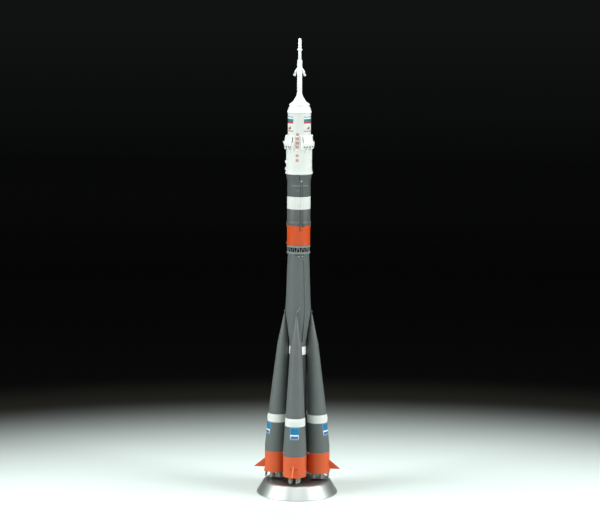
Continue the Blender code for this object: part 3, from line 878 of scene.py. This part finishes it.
# Fine lines on the third stage and the core's top
lineLook = {
    # name: azimuth, along the wall from and to, low, high, look
    # the core duct's foot line and the two lines on the core's top are painted shadow: beside the duct and
    # under the lattice's ring
    "stageHoopLine": (14.0, -7.2, 7.2, 241.2, 241.5, "hoopGrey"),
    "coreDuctShade": (41.0, -1.2, -0.45, 119.7, 133.0, "darkRecess"),
    "stageSeamLine": (9.5, -0.2, 0.2, 245.4, 249.4, "darkRecess"),
    "stageShortLine": (2.0, -1.8, 1.6, 237.5, 237.75, "softShadowGrey"),
    "coreTopShadeLeft": (4.0, -2.0, 1.3, 187.6, 188.35, "shadeGrey"),
    "coreTopShadeRight": (26.0, -1.2, 1.4, 187.6, 188.35, "shadeGrey"),
}
for name, (azimuth, left, right, low, high, look) in lineLook.items():
    bm = newMesh()
    columns = max(2, round((right - left) * 2))
    vertices = bentPlate(bm, left, right, low, high, -0.1, 0.05, columns, 3)
    laidOn(vertices, wallOf(name), azimuth)
    finished(name, bm, [look])

# Fitting above the front booster's nose: foot, head, and the radius at each
noseFittingLook = {
    "rod": ((0.5, -10.6, 144.0), (1.1, -10.3, 145.6), 0.2, 0.18),
    "clip": ((2.0, -9.9, 146.2), (2.5, -9.8, 147.0), 0.24, 0.24),
}
bm = newMesh()
for part in noseFittingLook.values():
    rodBetween(bm, *part, 10)
finished("noseFittingRod", bm, ["hoopGrey"])
print("stages made")

# Lattice between the stages

latticeLook = {
    "radius": 8.9,
    "low": 188.6,
    "high": 195.1,
    "ringHeights": (1.7, 1.55),  # lower, upper
    "ringDepth": 1,
    "lowRingOut": 0.05,
    "pairs": 14,
    "spread": 0.055,  # radians from a pair's middle to each foot
    "strut": 0.34,
    "strutDepth": 0.5,
    "strutInsets": (1.1, 0.9),  # from the lattice's foot and from its head
    "turn": 4.4,
}
bm = newMesh()
radius, low, high = latticeLook["radius"], latticeLook["low"], latticeLook["high"]
top, foot = low + latticeLook["ringHeights"][0], high - latticeLook["ringHeights"][1]
outside, inside = radius + latticeLook["lowRingOut"], radius - latticeLook["ringDepth"]
lowRing = [(outside, top), (outside, low), (inside, low), (inside, top)]
highRing = [(radius, high), (radius, foot), (inside, foot), (inside, high)]
spun(bm, lowRing, 84, ring=True)
spun(bm, highRing, 84, ring=True)
middle = radius - latticeLook["strutDepth"]
footInset, headInset = latticeLook["strutInsets"]
for number in range(latticeLook["pairs"] * 2):
    side = 1 if number % 2 else -1
    foot = math.tau * (number // 2) / latticeLook["pairs"] + side * latticeLook["spread"]
    head = foot + side * (math.pi / latticeLook["pairs"] - 2 * latticeLook["spread"])
    start, end = around(foot, middle, low + footInset), around(head, middle, high - headInset)
    rodBetween(bm, start, end, latticeLook["strut"], latticeLook["strut"], 10)
bmesh.ops.recalc_face_normals(bm, faces=bm.faces)
for face in bm.faces:  # the inward sides get the dark paint: painted shade, as they lie in the dark
    spot = face.calc_center_median()
    if face.normal.x * spot.x + face.normal.y * spot.y < 0.15 * spot.xy.length:
        face.material_index = 1
looks = ["latticeGrey", "darkRecess"]
finished("interstageLattice", bm, looks, ["interstage_lattice"], turn=latticeLook["turn"])

bm = spun(newMesh(), stageEngine["plate"], 48)
addMainBells(bm, stageEngine)
finished("stageEngineBells", bm, ["nozzleDark"], ["stage_engine"])
print("lattice made")

# Fairing

fairingLook = {
    "lower": [
        (0, 272.0), (8.8, 272.0), (9.88, 268.4), (9.88, 254.2), (10.1, 252.3), (10.1, 251.7),
        (10.5, 251.1), (10.5, 250.2), (10.3, 249.85), (0, 249.85),
    ],
    "upper": [(0, 296.4), (8.93, 296.4), (8.8, 295.7), (8.8, 272.05), (0, 272.05)],
    "nose": [
        (0, 303.2), (7.85, 303.2), (7.85, 302.4), (7.4, 301.8), (7.95, 300.9), (8.35, 300.1),
        (8.7, 298.5), (9.25, 297.7), (9.25, 297.2), (8.95, 296.45), (0, 296.45),
    ],
}
bm = spun(newMesh(), softened(fairingLook["lower"], 0.25, 3), 112)
addBlocks(bm, "fairingLowerBarrel")
finished("fairingLowerBarrel", bm, ["whitePaint"], ["fairing_lower_barrel"])
bm = spun(newMesh(), fairingLook["upper"], 112)
addBlocks(bm, "fairingUpperBarrel")
finished("fairingUpperBarrel", bm, ["whitePaint"], ["fairing_upper_barrel"])
bm = spun(newMesh(), softened(fairingLook["nose"], 0.35, 3), 112)
finished("fairingNose", bm, ["topWhite"], ["fairing_nose"])

# Folded grid-fin panels

panelLook = {
    "outline": (
        (6.0, 279.7), (9.9, 279.7), (10.3, 278.7), (10.75, 275.5), (11.4, 274.0),
        (11.45, 272.0), (11.3, 270.6), (10.45, 268.7), (6.0, 268.7),
    ),
    "width": 8.8,
    "azimuths": (45, 135, 225, 315),
    "nodes": ("grid_fin_panel_4", "grid_fin_panel_1", "grid_fin_panel_2", "grid_fin_panel_3"),
}
bm = newMesh()
outlinePlate(bm, softened(panelLook["outline"], 1.2, 4), panelLook["width"], 0.2)
rows = []
for azimuth, node in zip(panelLook["azimuths"], panelLook["nodes"]):
    rows.append((f"gridFinPanel{azimuth}", [node], azimuth - 90))
repeated(bm, ["whitePaint"], rows)

# Slots in the panels' sides, and the hinge brackets and rods under them
# The dark slot plates and hinge spots are partly real and partly painted shade; the grey side and foot lines
# are painted soft shadow.
bracketLook = {
    "slot": ((9.35, 278.8), (10.15, 278.8), (10.6, 276.2), (10.95, 274.4), (10.15, 274.4), (9.75, 276.4)),
    "sideLine": (
        (10.75, 273.6), (10.95, 273.6), (10.8, 270.9), (10.25, 269.3), (10.05, 269.3), (10.55, 271.0),
    ),
    "footLine": (2.0, 0.13, 266.2, 268.6),
    # height, distance out
    "face": ((266.5, 9.95), (268.7, 10.45), (270.6, 11.3), (272.0, 11.45), (274.0, 11.42)),
    "hinges": ((-3.8, 0.5), (-1.3, 0.45), (1.3, 0.45), (3.8, 0.5)),
    "hingeHeights": (270.8, 271.7),
    # top, foot, low, high
    "rods": (
        (-1.3, -2.5, 268.9, 271.0), (1.3, 2.5, 268.9, 271.0),
        (-3.4, -1.6, 270.6, 270.9), (1.6, 3.4, 270.6, 270.9),
    ),
}
bm = newMesh()
for side in (-1, 1):
    plate = outlinePlate(bm, bracketLook["slot"], 0.16, 0)
    plate += outlinePlate(bm, bracketLook["sideLine"], 0.16, 0, slot=1)
    bmesh.ops.translate(bm, vec=(0, side * (panelLook["width"] / 2 - 0.04) * mm, 0), verts=plate)
bmesh.ops.rotate(bm, matrix=Matrix.Rotation(math.radians(-90), 3, "Z"), verts=bm.verts)
vertices = []
across, half, low, high = bracketLook["footLine"]
for side in (-1, 1):
    vertices += bentPlate(bm, side * across - half, side * across + half, low, high, -0.1, 0.05, 1, 6, slot=1)
laidOn(vertices, fairingWall, 0)
vertices = []
low, high = bracketLook["hingeHeights"]
for middle, half in bracketLook["hinges"]:
    vertices += bentPlate(bm, middle - half, middle + half, low, high, -0.2, 0.12, 2, 2)
for top, foot, low, high in bracketLook["rods"]:
    vertices += bentPlate(bm, foot - 0.2, foot + 0.2, low, high, -0.2, 0.12, 1, 4, slot=2, slant=top - foot)
for vertex in vertices:  # laid on the panel's flat face
    vertex.co.y = -(valueAt(bracketLook["face"], vertex.co.z / mm) * mm + vertex.co.y)
rows = [(f"panelHinges{azimuth}", (), azimuth) for azimuth in panelLook["azimuths"]]
repeated(bm, ["darkRecess", "softShadowGrey", "bracketGrey"], rows)

# Stripes and plain marks

stripeLook = {
    "radius": 8.8,
    "ends": {"Right": (29.6, 152), "Left": (-152, -25.5)},
    "rows": (
        ("stripeWhite", 292.2, 293.5),
        ("stripeBlue", 290.1, 292.2),
        ("stripeRed", 288.85, 290.1),
        ("lineGrey", 293.5, 293.95),
        ("lineGrey", 282.75, 283.3),
    ),
}
for label, (start, end) in stripeLook["ends"].items():
    bm = newMesh()
    middle = (start + end) / 2
    half = math.radians(end - start) / 2 * stripeLook["radius"]
    looks, vertices = [], []
    for look, low, high in stripeLook["rows"]:
        if look not in looks:
            looks.append(look)
        vertices += bentPlate(bm, -half, half, low, high, -0.1, 0.04, 48, 1, slot=looks.index(look))
    laidOn(vertices, fairingWall, middle)
    finished("fairingStripes" + label, bm, looks)

# Plain red squares down the front, and a plain three-cornered mark on each side
markLook = {
    "azimuth": -2.4,
    "width": 2.3,
    "height": 2.0,
    "heights": (280.7, 277.5, 274.0, 271.0, 264.6, 260.9),
    "dot": (267.7, 0.3),
    "wedges": {"Right": (53, -4.4, 2.3), "Left": (-57, -3.0, 2.6)},
    "wedgeHeights": (284.3, 286.7),
    "wedgeTip": 0.9,  # share of its right end
    "wedgeCurve": 0.7,
}
bm = newMesh()
vertices = []
half, rise = markLook["width"] / 2, markLook["height"] / 2
for height in markLook["heights"]:
    vertices += bentPlate(bm, -half, half, height - rise, height + rise, -0.1, 0.04, 4, 2)
height, half = markLook["dot"]
vertices += bentPlate(bm, -half, half, height - half, height + half, -0.1, 0.04, 2)
laidOn(vertices, fairingWall, markLook["azimuth"])
finished("fairingRedMarks", bm, ["markRed"])
low, high = markLook["wedgeHeights"]
for label, (azimuth, left, right) in markLook["wedges"].items():
    bm = newMesh()
    wedge = bentPlate(bm, left, right, low, high, -0.1, 0.04, 6, 3)
    for vertex in wedge:
        up = max((vertex.co.z / mm - low) / (high - low), 0.0) ** markLook["wedgeCurve"]
        vertex.co.x += (right * markLook["wedgeTip"] * mm - vertex.co.x) * up
    laidOn(wedge, fairingWall, azimuth)
    finished("fairingWedge" + label, bm, ["wedgeRed"])
print("fairing made")

# Escape tower

towerLook = {
    # name: the node it stands for, corner radius, profile
    "towerFoot": ("tower_foot", 0.5, [
        (0, 312.8), (1.89, 312.8), (1.95, 311.6), (2.15, 310.7), (2.5, 309.3), (3.45, 307.8),
        (4.35, 306.2), (5.45, 304.8), (7.75, 303.25), (0, 303.25),
    ]),
    "towerLowerTube": ("tower_lower_tube", 0.14, [(0, 323.95), (1.89, 323.95), (1.89, 312.85), (0, 312.85)]),
    "towerBlock": ("tower_nozzles", 0.14, [(0, 331.9), (1.89, 331.9), (1.89, 324.0), (0, 324.0)]),
    "towerUpperTube": ("tower_upper_tube", 0.14, [
        (0, 336.8), (1.59, 336.8), (1.89, 336.5), (1.89, 331.95), (0, 331.95),
    ]),
    "towerHead": ("tower_head", 0.14, [
        (0, 353.1), (0.65, 352.9), (1.1, 352.4), (1.27, 351.7), (1.27, 345.3), (2.0, 344.75),
        (2.0, 344.25), (1.16, 343.75), (1.16, 336.85), (0, 336.85),
    ]),
}
nozzleLook = {
    "path": ((0.9, 331.1), (3.0, 327.3), (4.2, 324.7)),  # distance out, height: root, shoulder, mouth
    "neckRadii": (0.9, 1.25),
    "overlap": 0.1,  # share of the neck that the bell reaches back into
    "bellRadii": (0.8, 0.92, 0.75, 0.4),  # outside at start and mouth, inside at mouth and bottom
    "depth": 1.0,
}
for name, (node, cornerRadius, profile) in towerLook.items():
    bm = spun(newMesh(), softened(profile, cornerRadius, 4), 56)
    for number in range(4 if name == "towerBlock" else 0):
        root, shoulder, mouth = (around(math.tau * number / 4, *point) for point in nozzleLook["path"])
        rodBetween(bm, root, shoulder, *nozzleLook["neckRadii"], 24)
        start = shoulder.lerp(root, nozzleLook["overlap"])
        length = (mouth - start).length
        bottom = length - nozzleLook["depth"]
        neck, lip, bore, floor = nozzleLook["bellRadii"]
        # the third values darken the nozzle's inside: painted shade
        bell = [(0, 0), (neck, 0), (lip, length), (bore, length, 0.3), (floor, bottom, 1.0), (0, bottom, 1.0)]
        spun(bm, bell, 24, pointed(start, mouth - shoulder))
    finished(name, bm, ["topWhite"], [node])
print("tower made")

# Floor, lights and camera

floorLook = {
    "size": 2.6,
    "centre": (0.08, -0.45),
    "bright": (0.927, 0.983, 0.963),
    # from, to (distance from the centre), colour: a painted pool of light, the paper dimming, then dark, then
    # a little lighter again
    "fades": (
        (0.5, 0.81, (0.125, 0.125, 0.112)),
        (0.79, 0.92, (0.034, 0.038, 0.035)),
        (1.5, 4.2, (0.235, 0.25, 0.24)),
    ),
}
floorMesh = bpy.data.meshes.new("floor")
bm = bmesh.new()
bmesh.ops.create_grid(bm, x_segments=2, y_segments=2, size=floorLook["size"])
bm.to_mesh(floorMesh)
bm.free()
floor = bpy.data.objects.new("floor", floorMesh)
scene.collection.objects.link(floor)
floor.location.z = -0.0002
floorPaint = bpy.data.materials.new("floorPaper")
floorPaint.use_nodes = True
tree = floorPaint.node_tree
centreX, centreY = floorLook["centre"]
shifted = addNode(tree, "Mapping", {"Vector": addObjectPlace(tree), "Location": (-centreX, -centreY, 0)})
distance = addNode(tree, "VectorMath", {0: shifted.outputs["Vector"]}, operation="LENGTH")
colour = toLinear(floorLook["bright"])
for start, end, tone in floorLook["fades"]:
    fade = addRange(tree, distance.outputs["Value"], start, end, 0.0, 1.0, interpolation_type="SMOOTHSTEP")
    colour = addMix(tree, fade, colour, toLinear(tone))
paper = {"Base Color": colour, "Roughness": 0.8, "Specular IOR Level": 0.0}
fill(tree, tree.nodes["Principled BSDF"], paper)
floorMesh.materials.append(floorPaint)

world = bpy.data.worlds.new("studio")
scene.world = world
world.use_nodes = True
# Dark backdrop, a little lighter above than at floor level
worldLook = {"low": (0.029, 0.032, 0.031), "high": (0.067, 0.07, 0.07), "from": -0.102, "to": -0.035}
tree = world.node_tree
way = addNode(tree, "SeparateXYZ", {"Vector": addNode(tree, "TexCoord").outputs["Generated"]})
rise = addRange(tree, way.outputs["Z"], worldLook["from"], worldLook["to"], 0.0, 1.0)
backdrop = addMix(tree, rise, toLinear(worldLook["low"]), toLinear(worldLook["high"]))
fill(tree, tree.nodes["Background"], {"Color": backdrop})

lightLook = {
    # name: place, width, height, watts
    "leftSoftbox": ((-1.14, -0.62, 0.8), 0.7, 0.9, 17.5),
    "rightSoftbox": ((1.25, -0.35, 0.8), 0.7, 0.9, 17.5),
    "frontSoftbox": ((0.12, -1.1, 1.2), 0.9, 0.6, 0.8),
    "frontGlint": ((0.12, -1.1, 1.25), 0.5, 0.35, 4.0),
    "topSoftbox": ((0.0, -0.1, 1.3), 0.9, 0.9, 7.0),
    "backSoftbox": ((0.0, 1.2, 1.2), 0.8, 0.6, 2.5),
}
aim = Vector((0, 0, 0.12))
for name, (spot, width, height, watts) in lightLook.items():
    lamp = bpy.data.lights.new(name, "AREA")
    lamp.shape = "RECTANGLE"
    lamp.size, lamp.size_y, lamp.energy = width, height, watts
    light = bpy.data.objects.new(name, lamp)
    light.location = spot
    light.rotation_mode = "QUATERNION"
    light.rotation_quaternion = (aim - Vector(spot)).to_track_quat("-Z", "Y")
    light.visible_camera = False
    light.visible_diffuse = name != "frontGlint"  # this one only shines in the turned metal
    scene.collection.objects.link(light)

cameraLook = {
    "azimuth": 6.5,
    "distance": 1.6013,
    "height": 0.4211,
    "pitch": 8.554,
    "roll": 0.39,
    "lens": 126.0,
    "sensor": 36.0,
    "pixels": 600,
    "aside": 1.6,  # pixels that the axis stands beside the picture's middle
}
lens = bpy.data.cameras.new("camera")
lens.lens, lens.sensor_width = cameraLook["lens"], cameraLook["sensor"]
lens.clip_start, lens.clip_end = 0.05, 60.0
camera = bpy.data.objects.new("camera", lens)
scene.collection.objects.link(camera)
turn = math.radians(cameraLook["azimuth"])
focal = cameraLook["lens"] / cameraLook["sensor"] * cameraLook["pixels"]
yaw = turn - math.atan(cameraLook["aside"] / focal)
down = math.radians(cameraLook["pitch"])
forward = Vector((-math.sin(yaw) * math.cos(down), math.cos(yaw) * math.cos(down), -math.sin(down)))
right = forward.cross(Vector((0, 0, 1))).normalized()
up = right.cross(forward)
lean = math.radians(cameraLook["roll"])
tiltedRight = right * math.cos(lean) + up * math.sin(lean)
tiltedUp = up * math.cos(lean) - right * math.sin(lean)
axes = Matrix((tiltedRight, tiltedUp, -forward)).transposed().to_4x4()
reach = cameraLook["distance"]
spot = Vector((reach * math.sin(turn), -reach * math.cos(turn), cameraLook["height"]))
camera.matrix_world = Matrix.Translation(spot) @ axes
scene.camera = camera
scene.view_settings.view_transform = "Standard"
print("studio made")
